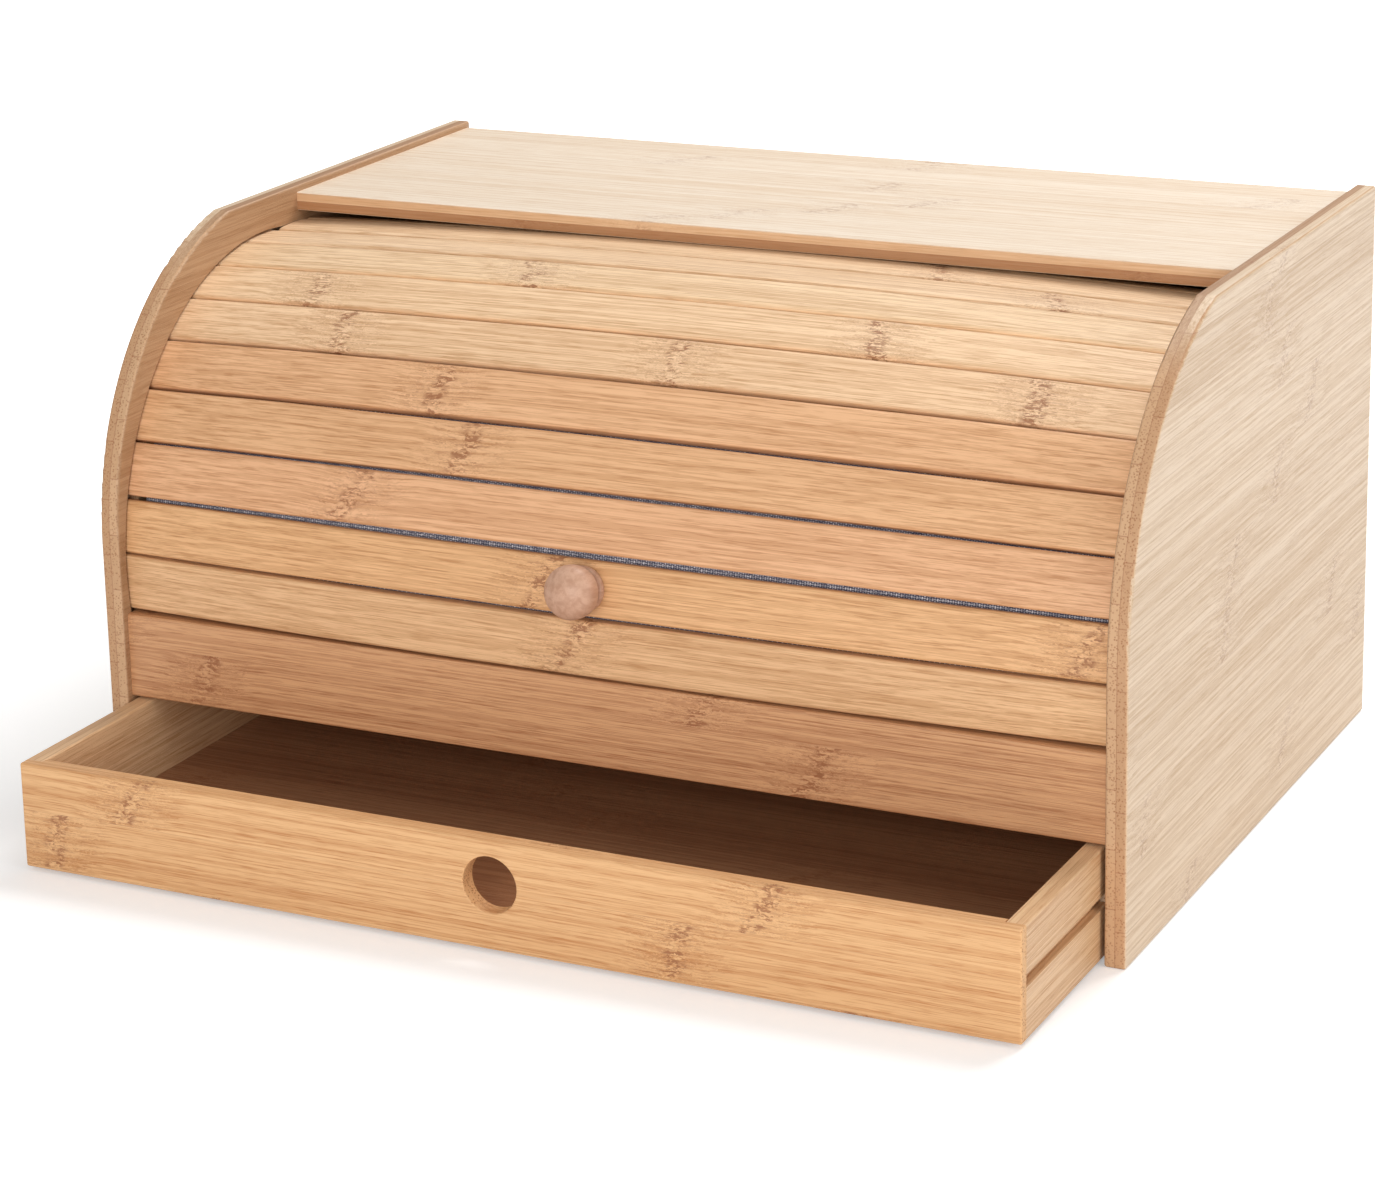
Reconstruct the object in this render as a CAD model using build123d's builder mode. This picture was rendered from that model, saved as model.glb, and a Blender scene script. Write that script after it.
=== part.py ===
"""Bread box with a roll-up slatted door over a shallow drawer, made of laminated bamboo boards.

Millimetres. +X is the box's right-hand side seen from the front, +Y runs to the back and +Z is up.
The origin is the middle of the whole thing's footprint, with the drawer drawn out as far as it
stands at rest. The door turns about an axis along X, so its slats run in a groove that is part of
a circle, and the rest position of the door is closed. Its last two slats lie just under the top
panel, behind the ones in the groove. All the slats are bowed outwards, most in their middles.
"""

from build123d import *
import os
from math import asin, atan, cos, degrees, hypot, radians, sin, sqrt, tan

os.makedirs("parts", exist_ok=True)

# ---- carcass -----------------------------------------------------------------------------------
width = 390.0  # over the two side panels
depth = 270.0  # of the side panels
height = 205.0  # of the side panels
side_thickness = 7.5
side_round = 1.0  # softened edges of the side panels
front_radius = 107.5  # of the side panels' rounded front
front_overshoot = 2.4  # how far the front arc's own summit would stand over the top edge

top_thickness = 7.0
top_drop = 2.5  # top panel below the side panels' top edges
top_reach = 25.0  # top panel's front edge, behind the door's axis
back_thickness = 7.0
back_inset = 1.5  # top and back panels, in from the side panels' back edges
floor_thickness = 7.0
rail_thickness = 7.0
rail_setback = 3.0  # rail's face behind the side panels' front edges
board_round = 0.8  # softened edges of the top panel, rail and drawer boards

# ---- roll-up door ------------------------------------------------------------------------------
door_radius = 102.0  # from the axis to the slats' faces
door_front_gap = 5.5  # slats' faces behind the side panels' front edges
door_top_gap = 4.5  # slats' faces below the top panel
grooved_slats = 9  # slats that lie on the circle, with their ends in the groove
last_bends = [0.0, 11.0]  # degrees that each further slat is bent down from the one before
slat_turn = 11.31  # degrees across a slat's face, seen from the axis
lowest_slat_extra = 1.2  # how much wider the lowest slat is
slat_thickness = 5.5
slat_round = 2.0
slat_bow = 3.8  # how far a slat's middle stands out past its ends
seam = 0.3  # gap between slats at the ends of their faces
wide_seams = {2: 1.0, 4: 0.6}  # the gaps above these slats stand further open
first_slat_tilt = -3.2  # degrees of the lowest slat, which is just below the axis
open_angle = 80.0  # degrees the door turns
cloth_thickness = 0.6
cloth_clearance = 0.1  # glue line between slats and cloth
cloth_margin = 4.0  # cloth's side edges, in from the side panels
cloth_end_margin = 1.0  # cloth's other two edges, in from the end slats' faces
cloth_section_count = 5  # places along the slats where the cloth's section is drawn

groove_depth = 4.0
groove_inner_clearance = 0.4
groove_outer_clearance = 0.9
groove_end_clearance = 0.4
slat_end_clearance = 0.6
short_slat_clearance = 0.6  # slats behind the grooved ones, in from the side panels
door_stop_clearance = 0.3  # lowest slat over the rail

# ---- knob --------------------------------------------------------------------------------------
knob_slat = 2
knob_length = 16.5
knob_head_radius = 9.4
knob_flange_radius = 8.0
knob_flange_thickness = 3.2
knob_flange_taper = 0.5  # how much less the flange's radius is near its top
knob_neck_radius = 5.6
knob_edge = 0.6  # bevel where the flange meets the slat
knob_head_back = 5.0  # from the slat to the underside of the head
knob_head_widest = 9.8  # from the slat to the head's widest circle
knob_head_flare = 1.6  # head's radius over its rounded underside, short of the widest circle
knob_underside_rise = 1.6
knob_bore_radius = 1.6
knob_screw_radius = 1.5
knob_screw_bite = 9.0  # how far the screw reaches into the knob
screw_clearance = 0.3
pan_head_radius = 3.4
pan_head_height = 2.0
pan_head_round = 0.9
screw_seat_clearance = 0.15  # between the screw's head and the cloth

# ---- drawer ------------------------------------------------------------------------------------
drawer_height = 38.5
drawer_ground_gap = 1.5
drawer_top_gap = 0.8
drawer_side_gap = 1.4
drawer_back_gap = 5.0  # behind the closed drawer
drawer_rest_opening = 73.0  # how far out the drawer stands at rest
drawer_front_thickness = 7.0
drawer_lip = 4.0  # what is left of the front board over the side boards' ends
drawer_side_thickness = 7.0
drawer_back_thickness = 7.0
drawer_bottom_thickness = 3.5
drawer_bottom_rise = 5.5  # underside of the bottom board over the drawer's lower edge
bottom_groove_depth = 3.0
bottom_groove_clearance = 0.1
finger_hole_radius = 10.0
finger_hole_rise = 3.6  # hole's centre over the middle of the front board
finger_hole_round = 0.5

# ---- runners, dowels, pins and screws ------------------------------------------------------------
runner_height = 4.0
runner_inlet = 2.0  # let into the side panel
runner_reach = 2.8  # into the drawer side's groove
runner_clearance = 0.2  # above and below, and at the groove's floor
runner_rise = 19.9  # middle of the runner over the drawer's lower edge
runner_front_gap = 0.6  # runner's end behind the closed drawer's lip
runner_back_gap = 4.0
pin_radius = 0.6
pin_length = 9.5
pin_clearance = 0.05
pins_per_runner = 3
pin_end_margin = 20.0

dowel_radius = 2.0
dowel_length = 16.0
dowel_clearance = 0.05
dowel_spare = 0.3  # hole deeper than the dowel
dowel_chamfer = 0.4
dowel_in_side_panel = 5.0
dowel_in_drawer_side = 4.2
dowel_edge_margin = 22.0

bottom_screw_radius = 1.2
bottom_screw_length = 14.0
bottom_screw_head_radius = 2.4
bottom_screw_cone = 90.0  # degrees across the countersunk head
bottom_screw_count = 3
bottom_screw_margin = 35.0
recess_width = 0.7
recess_depth = 0.9
recess_share = 0.6  # of the screw head's diameter, for each arm of the cross

# ---- places worked out from the sizes above --------------------------------------------------------
front_y = (drawer_rest_opening - rail_setback - depth) / 2  # side panels' front edges
back_y = front_y + depth
inner_x = width / 2 - side_thickness  # side panels' inner faces

front_centre = (front_y + front_radius, height + front_overshoot - front_radius)
top_start_y = front_centre[0] - sqrt(front_radius**2 - (front_radius - front_overshoot) ** 2)

top_z = height - top_drop
top_under_z = top_z - top_thickness
axis_y = front_y + door_front_gap + door_radius
axis_z = top_under_z - door_top_gap - door_radius
top_front_y = axis_y + top_reach
top_back_y = back_y - back_inset
back_front_y = top_back_y - back_thickness

drawer_low_z = drawer_ground_gap
drawer_high_z = drawer_low_z + drawer_height
floor_low_z = drawer_high_z + drawer_top_gap
floor_high_z = floor_low_z + floor_thickness
rail_front_y = front_y + rail_setback
rail_back_y = rail_front_y + rail_thickness


def outward(tilt):
    """Direction (Y, Z) straight out of a slat that is tilted this far back from facing the front."""
    return -cos(radians(tilt)), sin(radians(tilt))


def moved(point, tilt, away, along):
    """The point (Y, Z) moved out of the slat's face, and along its width towards the next slat."""
    out_y, out_z = outward(tilt)
    return point[0] + away * out_y + along * out_z, point[1] + away * out_z - along * out_y


# Each slat has the width of its face, its tilt and the middle (Y, Z) of its face.
slat_width = 2 * door_radius * tan(radians(slat_turn / 2))
slat_count = grooved_slats + len(last_bends)
face_widths = [slat_width + lowest_slat_extra] + [slat_width] * (slat_count - 1)
slat_tilts = [first_slat_tilt]
for below, above in zip(face_widths, face_widths[1:grooved_slats]):
    gap = wide_seams.get(len(slat_tilts), seam)
    turned = atan(below / 2 / door_radius) + atan(above / 2 / door_radius) + gap / door_radius
    slat_tilts.append(slat_tilts[-1] + degrees(turned))
slat_middles = [moved((axis_y, axis_z), tilt, door_radius, 0) for tilt in slat_tilts]
for bend in last_bends:
    face_end = moved(slat_middles[-1], slat_tilts[-1], 0, slat_width / 2)
    slat_tilts.append(slat_tilts[-1] + bend)
    slat_middles.append(moved(face_end, slat_tilts[-1], 0, seam + slat_width / 2))

# The lowest slat's lower side lies along a radius, so its outer corner is its lowest point.
door_low = moved(slat_middles[0], slat_tilts[0], slat_bow, -face_widths[0] / 2)
rail_high_z = door_low[1] - door_stop_clearance

groove_inner = door_radius - slat_thickness - groove_inner_clearance
groove_outer = hypot(door_radius, slat_width / 2) + groove_outer_clearance
groove_middle = (groove_inner + groove_outer) / 2
groove_width = groove_outer - groove_inner
end_clearance_angle = degrees(groove_end_clearance / groove_middle)
low_half_angle = degrees(atan(face_widths[0] / 2 / door_radius))
high_half_angle = degrees(atan(slat_width / 2 / door_radius))
groove_low_turn = slat_tilts[0] - low_half_angle - end_clearance_angle
groove_high_turn = slat_tilts[grooved_slats - 1] + high_half_angle
groove_high_turn += open_angle + end_clearance_angle
slat_length = 2 * (inner_x + groove_depth - slat_end_clearance)
bow_radius = (slat_length / 2) ** 2 / (2 * slat_bow) + slat_bow / 2
short_slat_length = 2 * (inner_x - short_slat_clearance)

drawer_half_width = inner_x - drawer_side_gap
drawer_inner_x = drawer_half_width - drawer_side_thickness
drawer_front_y = rail_front_y - drawer_rest_opening
drawer_length = back_front_y - drawer_back_gap - rail_front_y
drawer_back_y = drawer_front_y + drawer_length
drawer_rebate_y = drawer_front_y + drawer_lip
drawer_inner_front_y = drawer_front_y + drawer_front_thickness
drawer_inner_back_y = drawer_back_y - drawer_back_thickness
drawer_mid_z = (drawer_low_z + drawer_high_z) / 2
bottom_low_z = drawer_low_z + drawer_bottom_rise
bottom_high_z = bottom_low_z + drawer_bottom_thickness

runner_z = drawer_low_z + runner_rise
runner_front_y = rail_front_y + drawer_lip + runner_front_gap
runner_back_y = back_front_y - runner_back_gap
runner_width = runner_inlet + drawer_side_gap + runner_reach
runner_groove_depth = runner_reach + runner_clearance
runner_groove_height = runner_height + 2 * runner_clearance

dowel_hole_radius = dowel_radius + dowel_clearance


def spread(low, high, count):
    """Evenly spaced places from low to high, both of them included."""
    return [low + (high - low) * step / (count - 1) for step in range(count)]


# Each list holds the (Y, Z) centres of the dowels at one end of a board.
top_dowels = [
    (y, top_z - top_thickness / 2)
    for y in spread(top_front_y + dowel_edge_margin, top_back_y - dowel_edge_margin, 3)
]
floor_dowels = [
    (y, floor_low_z + floor_thickness / 2)
    for y in spread(rail_back_y + dowel_edge_margin, back_front_y - dowel_edge_margin, 3)
]
back_dowels = [
    (back_front_y + back_thickness / 2, z)
    for z in spread(dowel_edge_margin, top_under_z - dowel_edge_margin, 3)
]
rail_quarter = (rail_high_z - floor_low_z) / 4
rail_dowels = [
    (rail_front_y + rail_thickness / 2, z)
    for z in spread(floor_low_z + rail_quarter, rail_high_z - rail_quarter, 2)
]
carcass_dowels_at = top_dowels + floor_dowels + back_dowels + rail_dowels

# The drawer's dowels stand halfway between its bottom board and the runner's groove, and halfway
# between that groove and the top edge.
drawer_dowels_at = [
    (drawer_inner_back_y + drawer_back_thickness / 2, z)
    for z in (
        (bottom_high_z + runner_z - runner_groove_height / 2) / 2,
        (drawer_high_z + runner_z + runner_groove_height / 2) / 2,
    )
]
pins_at = spread(runner_front_y + pin_end_margin, runner_back_y - pin_end_margin, pins_per_runner)
bottom_screws_at = spread(
    bottom_screw_margin - drawer_inner_x, drawer_inner_x - bottom_screw_margin, bottom_screw_count
)
bottom_screw_y = drawer_inner_back_y + drawer_back_thickness / 2


def section_plane(middle, tilt):
    """Plane across a slat's length, its Y pointing out of the slat's face."""
    out_y, out_z = outward(tilt)
    return Plane(origin=(0, *middle), x_dir=(0, out_z, -out_y), z_dir=(1, 0, 0))


def face_plane(middle, tilt):
    """Plane on a slat's face, its Z pointing out of it."""
    return Plane(origin=(0, *middle), x_dir=(1, 0, 0), z_dir=(0, *outward(tilt)))


def bow_line(middle, tilt, length):
    """The bowed line along a slat's face, from its left end to its right end."""
    out_y, out_z = outward(tilt)
    plane = Plane(origin=(0, *middle), x_dir=(1, 0, 0), z_dir=(0, -out_z, out_y))
    half_arc = degrees(asin(length / 2 / bow_radius))
    with BuildLine(plane) as bowed:
        CenterArc((0, slat_bow - bow_radius), bow_radius, 90 + half_arc, -2 * half_arc)
    return bowed.line


def bow_start_plane(bowed, tilt):
    """Plane across the start of a slat's bowed line, its Y pointing out of the slat's face."""
    out_y, out_z = outward(tilt)
    return Plane(origin=bowed @ 0, x_dir=(0, out_z, -out_y), z_dir=bowed % 0)


def board_box(low, high):
    """Adds a plain board between two opposite corners to the part that is being built."""
    size = [b - a for a, b in zip(low, high)]
    with Locations(tuple((a + b) / 2 for a, b in zip(low, high))):
        Box(*size)


def end_holes(places, end_x, hole_depth):
    """Bores blind dowel holes along X into both ends of a board that spans the box."""
    for side in (-1, 1):
        ends = [Plane(origin=(side * end_x, y, z), z_dir=(side, 0, 0)) for y, z in places]
        with Locations(*ends):
            Hole(dowel_hole_radius, hole_depth)


def is_hole_rim(edge):
    """True for an edge on the wall of the finger hole, not on a softened corner of its board."""
    return edge.radius > board_round * 2


def long_edges():
    """The edges along X of the part that is being built, four of them on a plain board."""
    return edges().filter_by(Axis.X)


# ---- side panels -------------------------------------------------------------------------------
# The panel is drawn on its outer face, where the sketch's own axes are the box's Y and Z.
with BuildPart() as side_panel_left:
    with BuildSketch(Plane.YZ.offset(-width / 2)):
        with BuildLine():
            Line((front_y, front_centre[1]), (front_y, 0))
            Line((front_y, 0), (back_y, 0))
            Line((back_y, 0), (back_y, height))
            Line((back_y, height), (top_start_y, height))
            arc_end = degrees(atan((height - front_centre[1]) / (front_centre[0] - top_start_y)))
            CenterArc(front_centre, front_radius, 180 - arc_end, arc_end)
        make_face()
    extrude(amount=side_thickness)
    fillet(edges(), side_round)
    with BuildSketch(Plane.YZ.offset(-inner_x)):
        with BuildLine():
            groove_turn = groove_high_turn - groove_low_turn
            outer_wall = CenterArc(
                (axis_y, axis_z), groove_outer, 180 - groove_high_turn, groove_turn
            )
            inner_wall = CenterArc(
                (axis_y, axis_z), groove_inner, 180 - groove_high_turn, groove_turn
            )
            SagittaArc(outer_wall @ 0, inner_wall @ 0, groove_width / 2)
            SagittaArc(outer_wall @ 1, inner_wall @ 1, -groove_width / 2)
        make_face()
    extrude(amount=-groove_depth, mode=Mode.SUBTRACT)
    with BuildSketch(Plane.YZ.offset(-inner_x)):
        with Locations(((runner_front_y + runner_back_y) / 2, runner_z)):
            Rectangle(runner_back_y - runner_front_y, runner_height)
    extrude(amount=-runner_inlet, mode=Mode.SUBTRACT)
    with Locations(
        *[Plane(origin=(-inner_x, y, z), z_dir=(1, 0, 0)) for y, z in carcass_dowels_at]
    ):
        Hole(dowel_hole_radius, dowel_in_side_panel + dowel_spare)
    with Locations(
        *[Plane(origin=(-inner_x, y, runner_z), z_dir=(1, 0, 0)) for y in pins_at]
    ):
        Hole(pin_radius + pin_clearance, pin_length - runner_width + runner_inlet + dowel_spare)

side_panel_left.part.label = "side_panel_left"
export_step(side_panel_left.part, "parts/side_panel_left.step")

with BuildPart() as side_panel_right:
    mirror(side_panel_left.part, about=Plane.YZ)

side_panel_right.part.label = "side_panel_right"
export_step(side_panel_right.part, "parts/side_panel_right.step")

# ---- boards that span the box --------------------------------------------------------------------
board_hole_depth = dowel_length - dowel_in_side_panel + dowel_spare

with BuildPart() as top_panel:
    board_box((-inner_x, top_front_y, top_under_z), (inner_x, top_back_y, top_z))
    fillet(long_edges(), board_round)
    end_holes(top_dowels, inner_x, board_hole_depth)

top_panel.part.label = "top_panel"
export_step(top_panel.part, "parts/top_panel.step")

with BuildPart() as back_panel:
    board_box((-inner_x, back_front_y, 0), (inner_x, top_back_y, top_under_z))
    end_holes(back_dowels, inner_x, board_hole_depth)

back_panel.part.label = "back_panel"
export_step(back_panel.part, "parts/back_panel.step")

with BuildPart() as compartment_floor:
    board_box((-inner_x, rail_back_y, floor_low_z), (inner_x, back_front_y, floor_high_z))
    end_holes(floor_dowels, inner_x, board_hole_depth)

compartment_floor.part.label = "compartment_floor"
export_step(compartment_floor.part, "parts/compartment_floor.step")

with BuildPart() as front_rail:
    board_box((-inner_x, rail_front_y, floor_low_z), (inner_x, rail_back_y, rail_high_z))
    fillet(long_edges().group_by(Axis.Y)[0], board_round)
    end_holes(rail_dowels, inner_x, board_hole_depth)

front_rail.part.label = "front_rail"
export_step(front_rail.part, "parts/front_rail.step")

# ---- dowels of the carcass -----------------------------------------------------------------------
with BuildPart() as carcass_dowels:
    for side in (-1, 1):
        middle_x = side * (inner_x + dowel_in_side_panel - dowel_length / 2)
        with Locations(
            *[Plane(origin=(middle_x, y, z), z_dir=(1, 0, 0)) for y, z in carcass_dowels_at]
        ):
            Cylinder(dowel_radius, dowel_length)
    chamfer(edges().filter_by(GeomType.CIRCLE), dowel_chamfer)

carcass_dowels.part.label = "carcass_dowels"
export_step(carcass_dowels.part, "parts/carcass_dowels.step")

# ---- door slats ----------------------------------------------------------------------------------
# A slat's sides slope in towards its back, so that the door can bend at the cloth.
side_slope = slat_width / 2 / door_radius

for slat_index, (face_width, tilt, middle) in enumerate(
    zip(face_widths, slat_tilts, slat_middles)
):
    slat_name = f"slat_{slat_index + 1:02d}"
    half_face = face_width / 2
    half_back = half_face - slat_thickness * side_slope
    length = slat_length if slat_index < grooved_slats else short_slat_length
    bowed = bow_line(middle, tilt, length)
    with BuildPart() as slat:
        with BuildSketch(bow_start_plane(bowed, tilt)):
            with BuildLine():
                Polyline(
                    (-half_back, -slat_thickness),
                    (-half_face, 0),
                    (half_face, 0),
                    (half_back, -slat_thickness),
                    close=True,
                )
            make_face()
            fillet(vertices().group_by(Axis.Y)[-1], slat_round)
        sweep(path=bowed)
        if slat_index + 1 == knob_slat:
            with Locations(face_plane(middle, tilt)):
                Hole(knob_screw_radius + screw_clearance)
    slat.part.label = slat_name
    export_step(slat.part, f"parts/{slat_name}.step")

# ---- cloth that joins the slats ------------------------------------------------------------------
# It lies flat behind each slat and bends at the seams. Its section moves outwards with the slats'
# bow, so it is drawn at several places along them and joined smoothly.
cloth_outer_depth = slat_thickness + cloth_clearance
cloth_inner_depth = cloth_outer_depth + cloth_thickness


def cloth_line(depth):
    """Points (Y, Z) of the cloth's section at this depth behind the faces of the unbowed slats."""
    low_end = moved(slat_middles[0], slat_tilts[0], -depth, -face_widths[0] / 2 + cloth_end_margin)
    points = [low_end]
    for below in range(slat_count - 1):
        face_end = moved(slat_middles[below], slat_tilts[below], 0, face_widths[below] / 2)
        half_bend = radians(slat_tilts[below + 1] - slat_tilts[below]) / 2
        seam_tilt = (slat_tilts[below] + slat_tilts[below + 1]) / 2
        half_gap = wide_seams.get(below + 1, seam) / 2
        seam_middle = moved(face_end, seam_tilt, 0, half_gap)
        points.append(moved(seam_middle, seam_tilt, -depth / cos(half_bend), 0))
    points.append(
        moved(slat_middles[-1], slat_tilts[-1], -depth, slat_width / 2 - cloth_end_margin)
    )
    return points


with BuildPart() as backing_cloth:
    for x in spread(cloth_margin - inner_x, inner_x - cloth_margin, cloth_section_count):
        bow_here = sqrt(bow_radius**2 - x**2) - bow_radius + slat_bow
        with BuildSketch(Plane.YZ.offset(x)):
            with BuildLine():
                Polyline(
                    *cloth_line(cloth_outer_depth - bow_here),
                    *reversed(cloth_line(cloth_inner_depth - bow_here)),
                    close=True,
                )
            make_face()
    loft()
    with Locations(face_plane(slat_middles[knob_slat - 1], slat_tilts[knob_slat - 1])):
        Hole(knob_screw_radius + screw_clearance)

backing_cloth.part.label = "backing_cloth"
export_step(backing_cloth.part, "parts/backing_cloth.step")

# ---- knob and its screw --------------------------------------------------------------------------
# Both are turned about a line square to the slat, so their profiles are drawn in the plane across it.
knob_tilt = slat_tilts[knob_slat - 1]
knob_middle = moved(slat_middles[knob_slat - 1], knob_tilt, slat_bow, 0)
knob_plane = face_plane(knob_middle, knob_tilt)
knob_axis = Axis(knob_plane.origin, knob_plane.z_dir)
with BuildPart() as knob:
    with BuildSketch(section_plane(knob_middle, knob_tilt)):
        with BuildLine():
            Line((0, 0), (knob_flange_radius - knob_edge, 0))
            Line((knob_flange_radius - knob_edge, 0), (knob_flange_radius, knob_edge))
            Spline(
                (knob_flange_radius, knob_edge),
                (knob_flange_radius - knob_flange_taper, knob_flange_thickness - knob_edge),
                (knob_neck_radius, (knob_flange_thickness + knob_head_back) / 2),
                (knob_head_radius - knob_head_flare, knob_head_back + knob_underside_rise),
                (knob_head_radius, knob_head_widest),
                tangents=[(0, 1), (0, 1)],
            )
            knob_dome = knob_length - knob_head_widest
            Spline(
                (knob_head_radius, knob_head_widest),
                (knob_head_radius * sqrt(0.5), knob_head_widest + knob_dome * sqrt(0.5)),
                (0, knob_length),
                tangents=[(0, 1), (-1, 0)],
            )
            Line((0, knob_length), (0, 0))
        make_face()
    revolve(axis=knob_axis)
    with Locations(knob_plane):
        Hole(knob_bore_radius, knob_screw_bite + dowel_spare)

knob.part.label = "knob"
export_step(knob.part, "parts/knob.step")

screw_seat = cloth_inner_depth + screw_seat_clearance
seat_middle = moved(knob_middle, knob_tilt, -screw_seat, 0)
with BuildPart() as knob_screw:
    with BuildSketch(section_plane(seat_middle, knob_tilt)):
        with BuildLine():
            Line((0, -pan_head_height), (pan_head_radius - pan_head_round, -pan_head_height))
            RadiusArc(
                (pan_head_radius - pan_head_round, -pan_head_height),
                (pan_head_radius, -pan_head_height + pan_head_round),
                -pan_head_round,
            )
            screw_tip = screw_seat + knob_screw_bite
            Polyline(
                (pan_head_radius, -pan_head_height + pan_head_round),
                (pan_head_radius, 0),
                (knob_screw_radius, 0),
                (knob_screw_radius, screw_tip - 2 * knob_screw_radius),
                (0, screw_tip),
                (0, -pan_head_height),
            )
        make_face()
    revolve(axis=knob_axis)
    with BuildSketch(face_plane(moved(seat_middle, knob_tilt, -pan_head_height, 0), knob_tilt)):
        for arm in (0, 90):
            Rectangle(2 * pan_head_radius * recess_share, recess_width, rotation=arm)
    extrude(amount=recess_depth, mode=Mode.SUBTRACT)

knob_screw.part.label = "knob_screw"
export_step(knob_screw.part, "parts/knob_screw.step")

# ---- drawer --------------------------------------------------------------------------------------
bottom_groove_x = drawer_inner_x + bottom_groove_depth
bottom_groove_low = bottom_low_z - bottom_groove_clearance
bottom_groove_high = bottom_high_z + bottom_groove_clearance

with BuildPart() as drawer_front:
    board_box(
        (-drawer_half_width, drawer_front_y, drawer_low_z),
        (drawer_half_width, drawer_inner_front_y, drawer_high_z),
    )
    fillet(edges(), board_round)
    for side in (-1, 1):
        rebate_x = side * (drawer_inner_x + drawer_half_width) / 2
        rebate_y = (drawer_rebate_y + drawer_inner_front_y) / 2
        with Locations((rebate_x, rebate_y, drawer_mid_z)):
            Box(
                drawer_side_thickness,
                drawer_front_thickness - drawer_lip,
                drawer_height,
                mode=Mode.SUBTRACT,
            )
    with Locations((0, drawer_inner_front_y, (bottom_groove_low + bottom_groove_high) / 2)):
        Box(
            2 * bottom_groove_x,
            2 * bottom_groove_depth,
            bottom_groove_high - bottom_groove_low,
            mode=Mode.SUBTRACT,
        )
    hole_plane = Plane(
        origin=(0, drawer_front_y, drawer_mid_z + finger_hole_rise), z_dir=(0, -1, 0)
    )
    with Locations(hole_plane):
        Hole(finger_hole_radius)
    fillet(edges().filter_by(GeomType.CIRCLE).filter_by(is_hole_rim), finger_hole_round)

drawer_front.part.label = "drawer_front"
export_step(drawer_front.part, "parts/drawer_front.step")

with BuildPart() as drawer_side_left:
    board_box(
        (-drawer_half_width, drawer_rebate_y, drawer_low_z),
        (-drawer_inner_x, drawer_back_y, drawer_high_z),
    )
    fillet(edges().filter_by(Axis.Y), board_round)
    side_middle_y = (drawer_rebate_y + drawer_back_y) / 2
    side_length = drawer_back_y - drawer_rebate_y
    with Locations((-drawer_half_width, side_middle_y, runner_z)):
        Box(2 * runner_groove_depth, side_length, runner_groove_height, mode=Mode.SUBTRACT)
    with Locations((-drawer_inner_x, side_middle_y, (bottom_groove_low + bottom_groove_high) / 2)):
        Box(
            2 * bottom_groove_depth,
            side_length,
            bottom_groove_high - bottom_groove_low,
            mode=Mode.SUBTRACT,
        )
    with Locations(
        *[Plane(origin=(-drawer_inner_x, y, z), z_dir=(1, 0, 0)) for y, z in drawer_dowels_at]
    ):
        Hole(dowel_hole_radius, dowel_in_drawer_side + dowel_spare)

drawer_side_left.part.label = "drawer_side_left"
export_step(drawer_side_left.part, "parts/drawer_side_left.step")

with BuildPart() as drawer_side_right:
    mirror(drawer_side_left.part, about=Plane.YZ)

drawer_side_right.part.label = "drawer_side_right"
export_step(drawer_side_right.part, "parts/drawer_side_right.step")

bottom_screw_places = [(x, bottom_screw_y, bottom_low_z) for x in bottom_screws_at]

with BuildPart() as drawer_back:
    board_box(
        (-drawer_inner_x, drawer_inner_back_y, bottom_high_z),
        (drawer_inner_x, drawer_back_y, drawer_high_z),
    )
    fillet(long_edges().group_by(Axis.Z)[-1], board_round)
    end_holes(
        drawer_dowels_at, drawer_inner_x, dowel_length - dowel_in_drawer_side + dowel_spare
    )
    with Locations(*[Plane(origin=place, z_dir=(0, 0, -1)) for place in bottom_screw_places]):
        Hole(bottom_screw_radius + pin_clearance, bottom_screw_length + dowel_spare)

drawer_back.part.label = "drawer_back"
export_step(drawer_back.part, "parts/drawer_back.step")

with BuildPart() as drawer_bottom:
    board_half_width = bottom_groove_x - bottom_groove_clearance
    board_front_y = drawer_inner_front_y - bottom_groove_depth + bottom_groove_clearance
    board_box(
        (-board_half_width, board_front_y, bottom_low_z),
        (board_half_width, drawer_back_y, bottom_high_z),
    )
    with Locations(*[Plane(origin=place, z_dir=(0, 0, -1)) for place in bottom_screw_places]):
        CounterSinkHole(
            bottom_screw_radius + screw_clearance,
            bottom_screw_head_radius + screw_clearance,
            counter_sink_angle=bottom_screw_cone,
        )

drawer_bottom.part.label = "drawer_bottom"
export_step(drawer_bottom.part, "parts/drawer_bottom.step")

with BuildPart() as drawer_dowels:
    for side in (-1, 1):
        middle_x = side * (drawer_inner_x + dowel_in_drawer_side - dowel_length / 2)
        with Locations(
            *[Plane(origin=(middle_x, y, z), z_dir=(1, 0, 0)) for y, z in drawer_dowels_at]
        ):
            Cylinder(dowel_radius, dowel_length)
    chamfer(edges().filter_by(GeomType.CIRCLE), dowel_chamfer)

drawer_dowels.part.label = "drawer_dowels"
export_step(drawer_dowels.part, "parts/drawer_dowels.step")

# One screw is turned at the first place, and copied to the others.
cone_height = (bottom_screw_head_radius - bottom_screw_radius) / tan(radians(bottom_screw_cone / 2))
with BuildPart() as one_screw:
    with BuildSketch(Plane.XZ):
        with BuildLine():
            Polyline(
                (0, 0),
                (bottom_screw_head_radius, 0),
                (bottom_screw_radius, cone_height),
                (bottom_screw_radius, bottom_screw_length - 2 * bottom_screw_radius),
                (0, bottom_screw_length),
                close=True,
            )
        make_face()
    revolve(axis=Axis.Z)
    with BuildSketch(Plane.XY):
        for arm in (0, 90):
            Rectangle(2 * bottom_screw_head_radius * recess_share, recess_width, rotation=arm)
    extrude(amount=recess_depth, mode=Mode.SUBTRACT)

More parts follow.
